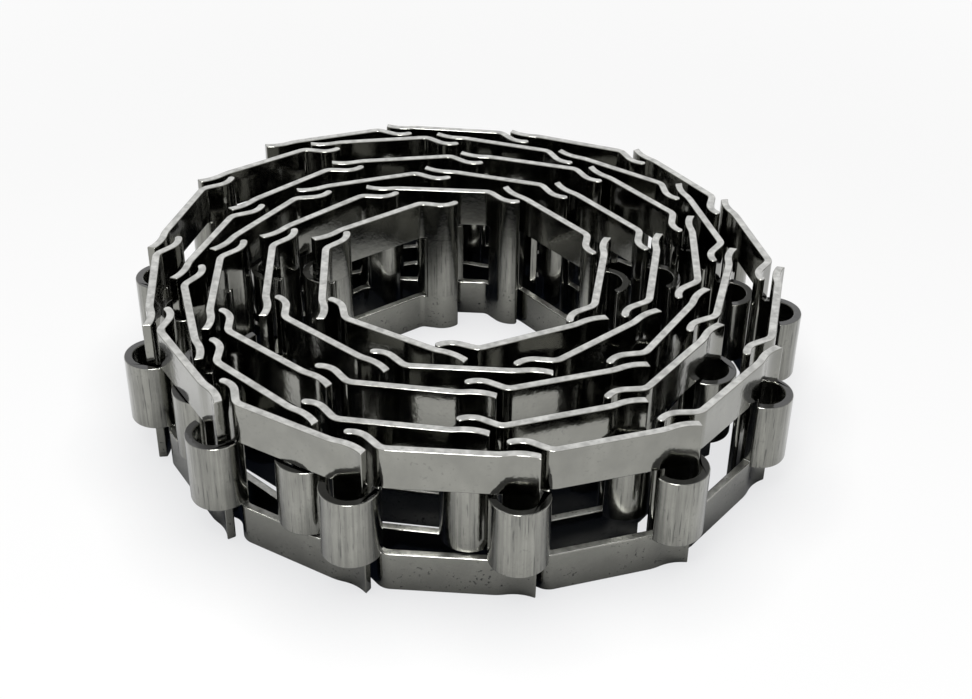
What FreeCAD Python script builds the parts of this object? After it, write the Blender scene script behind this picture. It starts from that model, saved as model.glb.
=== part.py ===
import FreeCAD, Part
import cmath
import math
import os
import Sketcher
from types import SimpleNamespace

# Steel detachable link chain, wound into a flat coil that stands on the edges of its links.
# Every link is one bent strip: a rolled crossbar, two side bars, an end bar, and a hook bent from the window.
# Link frame: origin on the pivot inside the hook, X to the next pivot, Y into the coil, Z across the chain.
# Points in the XY plane are complex numbers, x + yj.

# Driving dimensions in millimetres and degrees; radii run to the middle of the strip
SIZES = {
    "pitch": 58.6,
    "thickness": 3.2,
    "width": 62.5,
    "tongue_width": 28.0,
    "tongue_gap": 0.75,
    "crossbar_radius": 8.3,
    "tip_clearance": 0.4,
    "shoulder_angle": 42.0,
    "elbow_radius": 5.0,
    "hook_radius": 9.4,
    "hook_tip": 170.0,
    "hook_clearance": 0.8,
    "bar_radius": 18.0,
    "bar_crest": 1.1,
    "bend_limit": 57.0,
    "link_count": 52,
    "inner_tuck": 3.9,
    "bend_band": 7.0,
    "turn_gap": 1.2,
    "coil_turn": 96.9,
}
BEND_STEP = 1.0
BEND_SPARE = 1.0
WINDING_TRIES = 4000

doc = FreeCAD.newDocument("detachable_chain")
sheet = doc.addObject("Spreadsheet::Sheet", "Sizes")
for row, (alias, value) in enumerate(SIZES.items(), 1):
    sheet.set(f"A{row}", alias)
    sheet.set(f"B{row}", str(value))
    sheet.setAlias(f"B{row}", alias)
doc.recompute()
d = SimpleNamespace(**SIZES)


# Plane geometry
def polar(radius, angle, centre=0j):
    return centre + cmath.rect(radius, math.radians(angle))


def arc_points(radius, start, end, centre=0j):
    count = max(2, math.ceil(abs(math.radians(end - start)) * radius / (d.thickness / 2)))
    return [polar(radius, start + (end - start) * step / count, centre) for step in range(count + 1)]


def line_points(start, end):
    count = max(1, math.ceil(abs(end - start) / (d.thickness / 2)))
    return [start + (end - start) * step / count for step in range(count + 1)]


# Sizes that follow from the driving ones
half = d.thickness / 2
shoulder = math.radians(d.shoulder_angle)
tip_room = math.degrees(math.asin((d.thickness + d.tip_clearance) / d.crossbar_radius))
crossbar_tip = 180 - d.bend_limit - tip_room
elbow_x = (d.crossbar_radius + d.elbow_radius * (1 - math.sin(shoulder))) / math.cos(shoulder)
elbow_centre = complex(elbow_x, d.elbow_radius)
bar_rise = math.degrees(math.acos(1 - d.bar_crest / (2 * d.bar_radius)))
rise_centre = complex(d.pitch - 2 * d.bar_radius * math.sin(math.radians(bar_rise)), d.bar_radius)
bar_centre = complex(d.pitch, d.bar_crest - d.bar_radius)
bar_corner = d.hook_radius - half - d.hook_clearance
corner_y = ((d.bar_radius - half) ** 2 - bar_corner ** 2 - bar_centre.imag ** 2) / (-2 * bar_centre.imag)
bar_reach = math.sqrt(bar_corner ** 2 - corner_y ** 2)
hook_root = d.shoulder_angle - math.degrees(math.acos(d.crossbar_radius / d.hook_radius))
first_radius = d.pitch / 2 / math.sin(math.radians(d.bend_limit / 2)) - d.inner_tuck


# Sketch helpers
def vector(point):
    return FreeCAD.Vector(point.real, point.imag, 0)


def new_sketch(body, name, role):
    sketch = body.newObject("Sketcher::SketchObject", name)
    plane = next(feature for feature in body.Origin.OriginFeatures if feature.Role == role)
    sketch.AttachmentSupport = [(plane, "")]
    sketch.MapMode = "FlatFace"
    return sketch


def add_line(sketch, start, end):
    return sketch.addGeometry(Part.LineSegment(vector(start), vector(end)))


def add_arc(sketch, radius, start, end, centre=0j):
    circle = Part.Circle(vector(centre), FreeCAD.Vector(0, 0, 1), radius)
    return sketch.addGeometry(Part.ArcOfCircle(circle, math.radians(start), math.radians(end)))


def relate(sketch, kind, *refs):
    sketch.addConstraint(Sketcher.Constraint(kind, *refs))


def fix(sketch, name, expression, kind, *refs):
    value = sketch.evalExpression(expression)
    if kind == "Angle":
        value = math.radians(value.Value)
    index = sketch.addConstraint(Sketcher.Constraint(kind, *refs, value))
    sketch.renameConstraint(index, name)
    sketch.setExpression("Constraints." + name, expression)


START, END, CENTRE = range(1, 4)
ORIGIN = (-1, 1)
X_AXIS = -1
INNER = "- Sizes.thickness / 2"
OUTER = "+ Sizes.thickness / 2"


# Edge-on outline of the bent strip: rolled crossbar, shoulder, elbow, flat side bars and crowned end bar
def draw_strip(sketch):
    slope = polar(1, d.shoulder_angle)
    rolled_in = add_arc(sketch, d.crossbar_radius - half, d.shoulder_angle, crossbar_tip)
    tip = add_arc(sketch, half, crossbar_tip, crossbar_tip + 180, polar(d.crossbar_radius, crossbar_tip))
    rolled_out = add_arc(sketch, d.crossbar_radius + half, d.shoulder_angle, crossbar_tip)
    high_end = elbow_centre - slope * (d.elbow_radius - half)
    high = add_line(sketch, slope * (d.crossbar_radius + half), high_end)
    elbow_in = add_arc(sketch, d.elbow_radius - half, 180 + d.shoulder_angle, 270, elbow_centre)
    flat_in = add_line(sketch, complex(elbow_x, half), complex(rise_centre.real, half))
    rise_in = add_arc(sketch, d.bar_radius - half, 270, 270 + bar_rise, rise_centre)
    face_in = math.degrees(math.acos(bar_reach / (d.bar_radius + half)))
    bar_in = add_arc(sketch, d.bar_radius + half, face_in, 90 + bar_rise, bar_centre)
    face_out = math.degrees(math.acos(bar_reach / (d.bar_radius - half)))
    corner_in = polar(d.bar_radius + half, face_in, bar_centre)
    corner_out = polar(d.bar_radius - half, face_out, bar_centre)
    face = add_line(sketch, corner_in, corner_out)
    bar_out = add_arc(sketch, d.bar_radius - half, face_out, 90 + bar_rise, bar_centre)
    rise_out = add_arc(sketch, d.bar_radius + half, 270, 270 + bar_rise, rise_centre)
    flat_out = add_line(sketch, complex(rise_centre.real, -half), complex(elbow_x, -half))
    elbow_out = add_arc(sketch, d.elbow_radius + half, 180 + d.shoulder_angle, 270, elbow_centre)
    low_start = elbow_centre - slope * (d.elbow_radius + half)
    low = add_line(sketch, low_start, slope * (d.crossbar_radius - half))
    # The next hook's bore, less the clearance, is the circle on which the end bar's outer corner runs
    seat_circle = Part.Circle(vector(complex(d.pitch, 0)), FreeCAD.Vector(0, 0, 1), bar_corner)
    seat = sketch.addGeometry(seat_circle, True)
    # A line from the pivot to the rounded tip holds the tip's angle
    spoke = add_line(sketch, 0j, polar(d.crossbar_radius, crossbar_tip))
    sketch.setConstruction(spoke, True)

    relate(sketch, "Tangent", rolled_in, END, tip, END)
    relate(sketch, "Tangent", tip, START, rolled_out, END)
    relate(sketch, "Coincident", spoke, START, *ORIGIN)
    relate(sketch, "Coincident", spoke, END, tip, CENTRE)
    relate(sketch, "Tangent", rolled_out, START, high, START)
    relate(sketch, "Tangent", high, END, elbow_in, START)
    relate(sketch, "Tangent", elbow_in, END, flat_in, START)
    relate(sketch, "Tangent", flat_in, END, rise_in, START)
    relate(sketch, "Tangent", rise_in, END, bar_in, END)
    relate(sketch, "Coincident", bar_in, START, face, START)
    relate(sketch, "Coincident", face, END, bar_out, START)
    relate(sketch, "Tangent", bar_out, END, rise_out, END)
    relate(sketch, "Tangent", rise_out, START, flat_out, START)
    relate(sketch, "Tangent", flat_out, END, elbow_out, END)
    relate(sketch, "Tangent", elbow_out, START, low, START)
    relate(sketch, "Tangent", low, END, rolled_in, START)
    relate(sketch, "Coincident", rolled_in, CENTRE, *ORIGIN)
    relate(sketch, "Coincident", rolled_out, CENTRE, *ORIGIN)
    relate(sketch, "Coincident", elbow_in, CENTRE, elbow_out, CENTRE)
    relate(sketch, "Coincident", bar_in, CENTRE, bar_out, CENTRE)
    relate(sketch, "Horizontal", flat_in)
    relate(sketch, "Horizontal", flat_out)
    relate(sketch, "Vertical", face)
    relate(sketch, "PointOnObject", seat, CENTRE, X_AXIS)
    relate(sketch, "PointOnObject", face, END, seat)
    relate(sketch, "Vertical", seat, CENTRE, bar_in, CENTRE)

    room = "asin((Sizes.thickness + Sizes.tip_clearance) / Sizes.crossbar_radius)"
    fix(sketch, "tip_angle", "(180 - Sizes.bend_limit) * 1 deg - " + room, "Angle", spoke)
    fix(sketch, "slope_angle", "(Sizes.shoulder_angle - 90) * 1 deg", "Angle", high)
    fix(sketch, "flat_face", "Sizes.thickness / 2", "DistanceY", *ORIGIN, flat_in, START)
    fix(sketch, "next_pivot", "Sizes.pitch", "DistanceX", *ORIGIN, seat, CENTRE)
    fix(sketch, "bar_drop", "Sizes.bar_radius - Sizes.bar_crest", "DistanceY", bar_in, CENTRE, *ORIGIN)
    fix(sketch, "seat_radius", f"Sizes.hook_radius {INNER} - Sizes.hook_clearance", "Radius", seat)
    fix(sketch, "rolled_inside", f"Sizes.crossbar_radius {INNER}", "Radius", rolled_in)
    fix(sketch, "rolled_outside", f"Sizes.crossbar_radius {OUTER}", "Radius", rolled_out)
    fix(sketch, "elbow_inside", f"Sizes.elbow_radius {INNER}", "Radius", elbow_in)
    fix(sketch, "elbow_outside", f"Sizes.elbow_radius {OUTER}", "Radius", elbow_out)
    fix(sketch, "rise_inside", f"Sizes.bar_radius {INNER}", "Radius", rise_in)
    fix(sketch, "rise_outside", f"Sizes.bar_radius {OUTER}", "Radius", rise_out)
    fix(sketch, "bar_inside", f"Sizes.bar_radius {OUTER}", "Radius", bar_in)
    fix(sketch, "bar_outside", f"Sizes.bar_radius {INNER}", "Radius", bar_out)


# Window between the side bars, seen square to the strip, with room for the next link's hook
def draw_window(sketch):
    left = d.hook_radius + half - d.tongue_gap
    right = d.pitch - bar_corner + d.hook_clearance
    top = d.tongue_width / 2 + d.tongue_gap
    corners = [complex(left, top), complex(left, -top), complex(right, -top), complex(right, top)]
    sides = [add_line(sketch, start, end) for start, end in zip(corners, corners[1:] + corners[:1])]
    near, base, far, roof = sides
    for side, following in zip(sides, sides[1:] + sides[:1]):
        relate(sketch, "Coincident", side, END, following, START)
    relate(sketch, "Vertical", near)
    relate(sketch, "Vertical", far)
    relate(sketch, "Horizontal", base)
    relate(sketch, "Horizontal", roof)
    hook_edge = f"Sizes.hook_radius {OUTER} - Sizes.tongue_gap"
    bar_edge = f"Sizes.pitch - (Sizes.hook_radius {INNER} - 2 * Sizes.hook_clearance)"
    edge_height = "Sizes.tongue_width / 2 + Sizes.tongue_gap"
    fix(sketch, "near_edge", hook_edge, "DistanceX", *ORIGIN, near, START)
    fix(sketch, "far_edge", bar_edge, "DistanceX", *ORIGIN, far, START)
    fix(sketch, "roof_height", edge_height, "DistanceY", *ORIGIN, near, START)
    fix(sketch, "base_height", edge_height, "DistanceY", near, END, *ORIGIN)


# Edge-on outline of the hook: the tongue leaves the shoulder and rolls round the pivot
def draw_hook(sketch):
    inner = d.hook_radius - half
    outer = d.hook_radius + half
    bore = add_arc(sketch, inner, d.hook_tip, 360 + hook_root)
    back = add_arc(sketch, outer, d.hook_tip, 360 + hook_root)
    lip = add_line(sketch, polar(inner, d.hook_tip), polar(outer, d.hook_tip))
    root = add_line(sketch, polar(inner, hook_root), polar(outer, hook_root))
    for line, end in ((lip, START), (root, END)):
        relate(sketch, "Coincident", line, START, bore, end)
        relate(sketch, "Coincident", line, END, back, end)
        relate(sketch, "PointOnObject", *ORIGIN, line)
    relate(sketch, "Coincident", bore, CENTRE, *ORIGIN)
    relate(sketch, "Coincident", back, CENTRE, *ORIGIN)
    fix(sketch, "bore_radius", f"Sizes.hook_radius {INNER}", "Radius", bore)
    fix(sketch, "back_radius", f"Sizes.hook_radius {OUTER}", "Radius", back)
    fix(sketch, "lip_angle", "Sizes.hook_tip * 1 deg", "Angle", lip)
    crossing = "Sizes.shoulder_angle * 1 deg - acos(Sizes.crossbar_radius / Sizes.hook_radius)"
    fix(sketch, "root_angle", crossing, "Angle", root)


# One link, the form that all the others repeat
def make_form():
    body = doc.addObject("PartDesign::Body", "link_form")
    strip_sketch = new_sketch(body, "strip_outline", "XY_Plane")
    draw_strip(strip_sketch)
    strip = body.newObject("PartDesign::Pad", "strip")
    strip.Profile = strip_sketch
    strip.SideType = "Symmetric"
    strip.setExpression("Length", "Sizes.width")
    window_sketch = new_sketch(body, "window_outline", "XZ_Plane")
    draw_window(window_sketch)
    window = body.newObject("PartDesign::Pocket", "window")
    window.Profile = window_sketch
    window.SideType = "Symmetric"
    window.Type = "ThroughAll"
    hook_sketch = new_sketch(body, "hook_outline", "XY_Plane")
    draw_hook(hook_sketch)
    hook = body.newObject("PartDesign::Pad", "hook")
    hook.Profile = hook_sketch
    hook.SideType = "Symmetric"
    hook.setExpression("Length", "Sizes.tongue_width")
    body.Tip = hook
    return body


# Middle lines of the strip at two heights: through the side bars, and through the hook
def middle_lines():
    crossbar = arc_points(d.crossbar_radius, crossbar_tip, d.shoulder_angle)
    bend = complex(d.crossbar_radius / math.cos(shoulder), 0)
    foot = complex(rise_centre.real, 0)
    bar_end = math.degrees(math.acos(bar_reach / d.bar_radius))
    rise = arc_points(d.bar_radius, -90, -90 + bar_rise, rise_centre)
    bar = arc_points(d.bar_radius, 90 + bar_rise, bar_end, bar_centre)
    hook = arc_points(d.hook_radius, hook_root, d.hook_tip - 360)
    side_line = crossbar + line_points(crossbar[-1], bend) + line_points(bend, foot) + rise + bar
    hook_line = crossbar + hook + bar
    return side_line, hook_line


def moved(points, pose):
    place, heading = pose
    return [place + point * cmath.rect(1, heading) for point in points]


# Points of the links already wound, kept in square cells to find near neighbours quickly
class Crowd:
    def __init__(self, spacing):
        self.spacing = spacing
        self.cells = {}

    def cell(self, point):
        return math.floor(point.real / self.spacing), math.floor(point.imag / self.spacing)

    def add(self, owner, points):
        for point in points:
            self.cells.setdefault(self.cell(point), []).append((owner, point))

    def drop(self, owner, points):
        for point in points:
            key = self.cell(point)
            self.cells[key] = [entry for entry in self.cells[key] if entry[0] != owner]

    def clears(self, points, last_owner):
        for point in points:
            column, row = self.cell(point)
            for key in ((column + i, row + j) for i in (-1, 0, 1) for j in (-1, 0, 1)):
                for owner, other in self.cells.get(key, ()):
                    if owner < last_owner and abs(other - point) < self.spacing:
                        return False
        return True


# Winding rule: every link bends in as far as the turns inside it and its own hook allow
def wind(band):
    lines = middle_lines()
    crowds = [Crowd(d.thickness + d.turn_gap) for line in lines]

    def far_pivot(pose):
        return pose[0] + cmath.rect(d.pitch, pose[1])

    def chord_heading(place):
        return cmath.phase(place) + math.pi / 2 + math.asin(min(1, d.pitch / 2 / abs(place)))

    def next_poses(pose, index):
        place = far_pivot(pose)
        chord_bend = math.degrees(math.remainder(chord_heading(place) - pose[1], math.tau))
        bend = min(chord_bend + band, d.bend_limit - BEND_SPARE)
        while bend >= chord_bend - band:
            trial = (place, pose[1] + math.radians(bend))
            if all(crowd.clears(moved(line, trial), index - 1) for crowd, line in zip(crowds, lines)):
                yield trial
            bend -= BEND_STEP

    def place_link(pose):
        for crowd, line in zip(crowds, lines):
            crowd.add(len(poses), moved(line, pose))
        poses.append(pose)
        trials.append(next_poses(pose, len(poses)))

    def take_back():
        trials.pop()
        pose = poses.pop()
        for crowd, line in zip(crowds, lines):
            crowd.drop(len(poses), moved(line, pose))

    poses = []
    trials = []
    start = complex(first_radius, 0)
    place_link((start, chord_heading(start)))
    for step in range(WINDING_TRIES):
        if len(poses) == d.link_count:
            return poses
        pose = next(trials[-1], None)
        if pose:
            place_link(pose)
        elif len(poses) > 1:
            take_back()
        else:
            break
    return None


# Wind the coil, with a wider band of bends where the first one finds no way through
def wind_coil():
    for extra in range(10):
        poses = wind(d.bend_band + extra)
        if poses:
            return poses
    raise RuntimeError("the chain can't be wound at these sizes")


# Place the links, each a body of its own, with the coil's box centred on the origin and standing on Z = 0
form = make_form()
doc.recompute()
turn = cmath.rect(1, math.radians(d.coil_turn))
links = []
for number, (place, heading) in enumerate(wind_coil(), 1):
    body = doc.addObject("PartDesign::Body", f"link_{number:02d}")
    body.Label = f"link_{number:02d}"
    copy = doc.addObject("PartDesign::FeatureBase", f"form_{number:02d}")
    copy.BaseFeature = form
    body.Group = [copy]
    body.Tip = copy
    spin = FreeCAD.Rotation(FreeCAD.Vector(0, 0, 1), math.degrees(heading) + d.coil_turn)
    body.Placement = FreeCAD.Placement(vector(place * turn), spin)
    links.append(body)
doc.recompute()
box = FreeCAD.BoundBox()
for body in links:
    box.add(body.Shape.optimalBoundingBox(False, False))
for body in links:
    body.Placement.Base -= FreeCAD.Vector(box.Center.x, box.Center.y, box.ZMin)
doc.recompute()

# Check every object before anything is written
for thing in doc.Objects:
    if "Invalid" in thing.State or "Error" in thing.State:
        raise RuntimeError(f"{thing.Label} has failed: {thing.State}")
for body in links:
    if body.Shape.isNull() or not body.Shape.isValid() or len(body.Shape.Solids) != 1:
        raise RuntimeError(f"{body.Label} is not one sound solid")

# Write one file for each link
os.makedirs("parts", exist_ok=True)
for body in links:
    body.Shape.exportStep(f"parts/{body.Label}.step")
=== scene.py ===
import math
import bpy
from mathutils import Matrix, Vector


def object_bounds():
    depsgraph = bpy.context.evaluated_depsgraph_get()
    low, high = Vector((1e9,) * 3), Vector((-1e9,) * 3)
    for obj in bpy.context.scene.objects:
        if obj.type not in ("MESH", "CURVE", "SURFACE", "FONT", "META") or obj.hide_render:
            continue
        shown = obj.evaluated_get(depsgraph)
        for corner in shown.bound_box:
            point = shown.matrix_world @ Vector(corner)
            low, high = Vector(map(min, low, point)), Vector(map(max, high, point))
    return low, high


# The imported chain, and its box before anything is added
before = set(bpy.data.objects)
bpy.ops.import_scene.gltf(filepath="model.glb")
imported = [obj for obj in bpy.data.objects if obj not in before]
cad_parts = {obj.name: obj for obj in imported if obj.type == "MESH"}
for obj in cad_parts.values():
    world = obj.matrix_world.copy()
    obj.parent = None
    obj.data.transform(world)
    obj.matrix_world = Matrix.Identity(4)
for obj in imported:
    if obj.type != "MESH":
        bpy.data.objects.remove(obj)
cad_low, cad_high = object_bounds()

MM = 0.001
MIDDLE = (cad_low.z + cad_high.z) / 2

# The photograph's camera: 972 pixels wide, aimed at a point on the plane of the top edges
PHOTO_WIDTH = 972
FOCAL_PIXELS = 1508
SENSOR_WIDTH = 36.0
AIM = Vector((9.33 * MM, -63.16 * MM, cad_high.z))
CAMERA_DISTANCE = 556.0 * MM
CAMERA_ELEVATION = math.radians(33.67)
CAMERA_ROLL = math.radians(1.02)

# Rounded edges
WELD_DISTANCE = 0.002 * MM
FLAT_ANGLE = math.radians(0.5)
EDGE_ROUNDING = 0.45 * MM
EDGE_SEGMENTS = 2
SHARP_ANGLE = math.radians(30)

# Colours of the steel
FILM_COLOUR = (0.215, 0.215, 0.191)
EDGE_DARK = (0.33, 0.33, 0.315, 1.0)
EDGE_PALE = (0.62, 0.62, 0.595, 1.0)
# Near-black painted on the hooks' level rims: painted shade standing in for the dark links they reflect
RIM_PAINTED_SHADE = (0.02, 0.02, 0.02, 1.0)
PIT_COLOUR = (0.02, 0.02, 0.02, 1.0)

# Where hooks, level faces and low side bars begin and end
HOOK_HALF_WIDTH = 14.0 * MM
HOOK_FADE = (HOOK_HALF_WIDTH + 0.5 * MM, HOOK_HALF_WIDTH + 0.2 * MM)
LEVEL_FADE = (0.75, 0.97)
PIT_LEVEL = 16.0 * MM
PIT_FADE = (PIT_LEVEL + 6.0 * MM, PIT_LEVEL - 6.0 * MM)

# Noises per metre, drawn out along the hooks for lines and dashes
LINE_SCALE = (900, 900, 25)
DASH_SCALE = (1600, 1600, 90)
SMEAR_SCALE = (120, 120, 90)
WAVE_SCALE = (55, 55, 45)
RIPPLE_SCALE = (330, 330, 330)
GRAIN_SCALE = (750, 750, 750)

# Part of each noise that is used, and the tones and roughnesses made from it
WIDE_RANGE = (0.3, 0.7)
LINE_RANGE = (0.35, 0.65)
DASH_RANGE = (0.62, 0.7)
CLUSTER_RANGE = (0.44, 0.56)
PIT_RANGE = (0.62, 0.68)
SMEAR_TONES = (0.85, 1.12)
LINE_TONES = (0.74, 1.18)
DASH_TONES = (1.0, 0.45)
PIT_SHARES = (0.25, 1.0)
FILM_ROUGHNESS = (0.08, 0.17)
HOOK_ROUGHNESS = 0.06
EDGE_ROUGHNESS = 0.2
COAT = {"Coat Weight": 1.0, "Coat Roughness": 0.03, "Coat IOR": 1.6}

# Strength and depth of the bumps
WAVE_BUMP = (0.25, 0.6 * MM)
RIPPLE_BUMP = (0.4, 0.1 * MM)
GRAIN_BUMP = (0.4, 0.05 * MM)
LINE_BUMP = (0.25, 0.08 * MM)

# White floor with painted shade: its colour and glow are darker and bluer where links crowd over it,
# plain white to the camera further away
FLOOR_SIZE = 6.0
FLOOR_GAP = 0.1 * MM
FLOOR_COLOUR = (0.9, 0.9, 0.9)
WHITE = (1.0, 1.0, 1.0, 1.0)
PAINTED_SHADE_BLUE = (0.08, 0.11, 0.2, 1.0)
CROWDING_REACH = 40.0 * MM
CROWDING_POWER = 2.0
CROWDING_SAMPLES = 16
SHADOW_SHARE = 0.15
SHADOW_FADE = (0.3, 0.8)
REFLECTED_SHARE = 0.05

# White surroundings, and a soft lamp above the viewer
WORLD_LEVEL = 0.15
LAMP_SIZE = 0.35
LAMP_PLACE = Vector((-0.1, -0.66, 0.95))
LAMP_POWER = 13.5


# Node helpers
def add_node(tree, kind, inputs=None, **settings):
    node = tree.nodes.new(kind)
    for name, value in settings.items():
        setattr(node, name, value)
    for name, value in (inputs or {}).items():
        socket = node.inputs[name]
        if isinstance(value, bpy.types.NodeSocket):
            tree.links.new(value, socket)
        else:
            socket.default_value = value
    return node


def maths(tree, operation, first, second=0.5):
    return add_node(tree, "ShaderNodeMath", {0: first, 1: second}, operation=operation).outputs[0]


def ramp_between(tree, value, low, high, to_low=0.0, to_high=1.0):
    inputs = {"Value": value, "From Min": low, "From Max": high, "To Min": to_low, "To Max": to_high}
    return add_node(tree, "ShaderNodeMapRange", inputs).outputs["Result"]


def noise(tree, coordinates, scale, detail):
    mapping = add_node(tree, "ShaderNodeMapping", {"Vector": coordinates, "Scale": scale})
    inputs = {"Vector": mapping.outputs[0], "Scale": 1.0, "Detail": detail}
    return add_node(tree, "ShaderNodeTexNoise", inputs).outputs["Fac"]


def bump(tree, height, strength, distance, below=None):
    inputs = {"Height": height, "Strength": strength, "Distance": distance}
    if below:
        inputs["Normal"] = below
    return add_node(tree, "ShaderNodeBump", inputs).outputs[0]


# The numbered sockets of the mix node are its two colours and the colour it gives
def blend_colours(tree, factor, first, second):
    inputs = {"Factor": factor, 6: first, 7: second}
    return add_node(tree, "ShaderNodeMix", inputs, data_type="RGBA").outputs[2]


def scaled_colour(tree, colour, scale):
    inputs = {0: colour, "Scale": scale}
    return add_node(tree, "ShaderNodeVectorMath", inputs, operation="SCALE").outputs[0]


def empty_material(name):
    material = bpy.data.materials.new(name)
    material.use_nodes = True
    material.node_tree.nodes.clear()
    return material, material.node_tree


# Dark glossy film on steel: streaked hooks with rims painted black as painted shade, pale sheared
# edges, pits and slight waves
def steel_material():
    material, tree = empty_material("dark_steel")
    place = add_node(tree, "ShaderNodeTexCoord").outputs["Object"]
    level = add_node(tree, "ShaderNodeSeparateXYZ", {0: place}).outputs["Z"]
    from_middle = maths(tree, "ABSOLUTE", maths(tree, "SUBTRACT", level, MIDDLE))
    on_hook = ramp_between(tree, from_middle, *HOOK_FADE)
    normal = add_node(tree, "ShaderNodeNewGeometry").outputs["Normal"]
    upward = add_node(tree, "ShaderNodeSeparateXYZ", {0: normal}).outputs["Z"]
    level_face = ramp_between(tree, maths(tree, "ABSOLUTE", upward), *LEVEL_FADE)
    hook_rim = maths(tree, "MULTIPLY", level_face, on_hook)
    on_edge = maths(tree, "SUBTRACT", level_face, hook_rim)

    lines = noise(tree, place, LINE_SCALE, detail=3.0)
    dashes = noise(tree, place, DASH_SCALE, detail=1.0)
    smears = noise(tree, place, SMEAR_SCALE, detail=4.0)
    waves = noise(tree, place, WAVE_SCALE, detail=1.0)
    ripples = noise(tree, place, RIPPLE_SCALE, detail=2.0)
    grain = noise(tree, place, GRAIN_SCALE, detail=2.0)

    # Film, paler and darker in smears, with drawn lines and short dashes on the hooks
    tone = ramp_between(tree, smears, *WIDE_RANGE, *SMEAR_TONES)
    line_tone = ramp_between(tree, lines, *LINE_RANGE, *LINE_TONES)
    dash_tone = ramp_between(tree, dashes, *DASH_RANGE, *DASH_TONES)
    drawn = maths(tree, "MULTIPLY", tone, maths(tree, "MULTIPLY", line_tone, dash_tone))
    film_tone = add_node(tree, "ShaderNodeMix", {"Factor": on_hook, "A": tone, "B": drawn}).outputs[0]
    film = scaled_colour(tree, FILM_COLOUR, film_tone)
    edge = blend_colours(tree, ramp_between(tree, ripples, *WIDE_RANGE), EDGE_DARK, EDGE_PALE)
    # Painted shade: the hooks' level rims turn near-black, a painted reflection of the dark links
    # around them
    rim_shaded = blend_colours(tree, hook_rim, film, RIM_PAINTED_SHADE)
    edged = blend_colours(tree, on_edge, rim_shaded, edge)

    # Pits in clusters, most of them on the lower side bars
    low_down = ramp_between(tree, level, *PIT_FADE, *PIT_SHARES)
    clusters = maths(tree, "MULTIPLY", ramp_between(tree, smears, *CLUSTER_RANGE), low_down)
    pits = maths(tree, "MULTIPLY", ramp_between(tree, grain, *PIT_RANGE), clusters)
    colour = blend_colours(tree, pits, edged, PIT_COLOUR)

    film_roughness = ramp_between(tree, smears, *WIDE_RANGE, *FILM_ROUGHNESS)
    hook_roughness = maths(tree, "MULTIPLY", on_hook, HOOK_ROUGHNESS)
    edge_roughness = maths(tree, "MULTIPLY", on_edge, EDGE_ROUGHNESS)
    roughness = maths(tree, "ADD", maths(tree, "ADD", film_roughness, hook_roughness), edge_roughness)

    wavy = bump(tree, waves, *WAVE_BUMP)
    rippled = bump(tree, ripples, *RIPPLE_BUMP, wavy)
    grained = bump(tree, grain, *GRAIN_BUMP, rippled)
    lined = bump(tree, maths(tree, "MULTIPLY", lines, on_hook), *LINE_BUMP, grained)
    inputs = {"Base Color": colour, "Roughness": roughness, "Normal": lined, "Metallic": 1.0}
    inputs.update(COAT)
    inputs["Coat Normal"] = grained
    shader = add_node(tree, "ShaderNodeBsdfPrincipled", inputs)
    add_node(tree, "ShaderNodeOutputMaterial", {"Surface": shader.outputs[0]})
    return material


# Rounded edges on every link; the solids' own meshes stay as they are
def dress_links():
    steel = steel_material()
    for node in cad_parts.values():
        node.data.materials.clear()
        node.data.materials.append(steel)
        weld = node.modifiers.new("join_corners", "WELD")
        weld.merge_threshold = WELD_DISTANCE
        flat = node.modifiers.new("flat_faces", "DECIMATE")
        flat.decimate_type = "DISSOLVE"
        flat.angle_limit = FLAT_ANGLE
        rounding = node.modifiers.new("rounded_edges", "BEVEL")
        rounding.width = EDGE_ROUNDING
        rounding.segments = EDGE_SEGMENTS
        rounding.limit_method = "ANGLE"
        rounding.angle_limit = SHARP_ANGLE
        rounding.use_clamp_overlap = False
        smooth = node.modifiers.new("face_normals", "WEIGHTED_NORMAL")
        smooth.keep_sharp = False


# One for camera, glossy and transmitted rays, which are to find white surroundings
def seen_directly(tree):
    path = add_node(tree, "ShaderNodeLightPath")
    seen = maths(tree, "MAXIMUM", path.outputs["Is Camera Ray"], path.outputs["Is Glossy Ray"])
    return maths(tree, "MAXIMUM", seen, path.outputs["Is Transmission Ray"])
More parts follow.
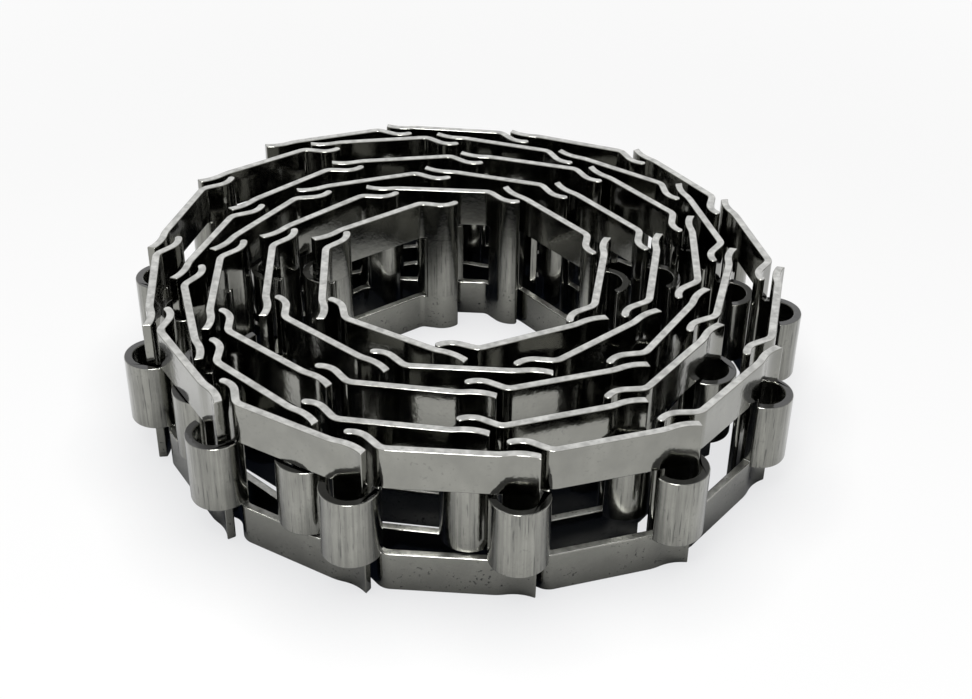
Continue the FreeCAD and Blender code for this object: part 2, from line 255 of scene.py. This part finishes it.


# The floor takes light and shadow, mixed with a glow for rays that see it directly; its colour and its
# glow also carry painted shade, darker and bluer where links crowd over it
def make_floor():
    bpy.ops.mesh.primitive_plane_add(size=FLOOR_SIZE, location=(0, 0, cad_low.z - FLOOR_GAP))
    floor = bpy.context.object
    floor.name = "floor"
    material, tree = empty_material("white_floor")
    crowding = {"Distance": CROWDING_REACH}
    open_sky = add_node(tree, "ShaderNodeAmbientOcclusion", crowding, samples=CROWDING_SAMPLES)
    open_share = maths(tree, "POWER", open_sky.outputs["AO"], CROWDING_POWER)
    # Painted shade: the floor's own colour darkens where links crowd over it
    colour = scaled_colour(tree, FLOOR_COLOUR, open_share)
    diffuse = add_node(tree, "ShaderNodeBsdfDiffuse", {"Color": colour})
    seen_by_camera = add_node(tree, "ShaderNodeLightPath").outputs["Is Camera Ray"]
    place = add_node(tree, "ShaderNodeTexCoord").outputs["Object"]
    away = add_node(tree, "ShaderNodeVectorMath", {0: place}, operation="LENGTH").outputs["Value"]
    camera_glow = ramp_between(tree, away, *SHADOW_FADE, 1 - SHADOW_SHARE, 1.0)
    lift = maths(tree, "MULTIPLY", seen_by_camera, camera_glow)
    whiteness = add_node(tree, "ShaderNodeMix", {"Factor": lift, "A": open_share, "B": 1.0}).outputs[0]
    # Painted shade: the glow turns deep blue where links crowd over it, seen mostly in the steel's
    # reflections
    glow_colour = blend_colours(tree, whiteness, PAINTED_SHADE_BLUE, WHITE)
    glow = add_node(tree, "ShaderNodeEmission", {"Color": glow_colour, "Strength": 1.0})
    glow_share = ramp_between(tree, seen_by_camera, 0.0, 1.0, REFLECTED_SHARE, camera_glow)
    share = maths(tree, "MULTIPLY", seen_directly(tree), glow_share)
    mixed = add_node(tree, "ShaderNodeMixShader", {0: share, 1: diffuse.outputs[0], 2: glow.outputs[0]})
    add_node(tree, "ShaderNodeOutputMaterial", {"Surface": mixed.outputs[0]})
    floor.data.materials.append(material)


def light_scene():
    world = bpy.data.worlds.new("studio")
    bpy.context.scene.world = world
    world.use_nodes = True
    tree = world.node_tree
    tree.nodes.clear()
    level = ramp_between(tree, seen_directly(tree), 0.0, 1.0, WORLD_LEVEL, 1.0)
    background = add_node(tree, "ShaderNodeBackground", {"Color": WHITE, "Strength": level})
    add_node(tree, "ShaderNodeOutputWorld", {"Surface": background.outputs[0]})
    lamp = bpy.data.objects.new("soft_lamp", bpy.data.lights.new("soft_lamp", "AREA"))
    lamp.data.size = LAMP_SIZE
    lamp.data.energy = LAMP_POWER
    lamp.location = LAMP_PLACE
    lamp.rotation_mode = "QUATERNION"
    lamp.rotation_quaternion = (-LAMP_PLACE).to_track_quat("-Z", "Y")
    bpy.context.scene.collection.objects.link(lamp)
    bpy.context.scene.view_settings.view_transform = "Standard"


def make_camera():
    camera = bpy.data.objects.new("camera", bpy.data.cameras.new("camera"))
    camera.data.sensor_width = SENSOR_WIDTH
    camera.data.lens = FOCAL_PIXELS / PHOTO_WIDTH * SENSOR_WIDTH
    back = Vector((0, -math.cos(CAMERA_ELEVATION), math.sin(CAMERA_ELEVATION)))
    turn = (-back).to_track_quat("-Z", "Y").to_matrix().to_4x4() @ Matrix.Rotation(CAMERA_ROLL, 4, "Z")
    camera.matrix_world = Matrix.Translation(AIM + back * CAMERA_DISTANCE) @ turn
    bpy.context.scene.collection.objects.link(camera)
    bpy.context.scene.camera = camera


dress_links()
make_floor()
light_scene()
make_camera()
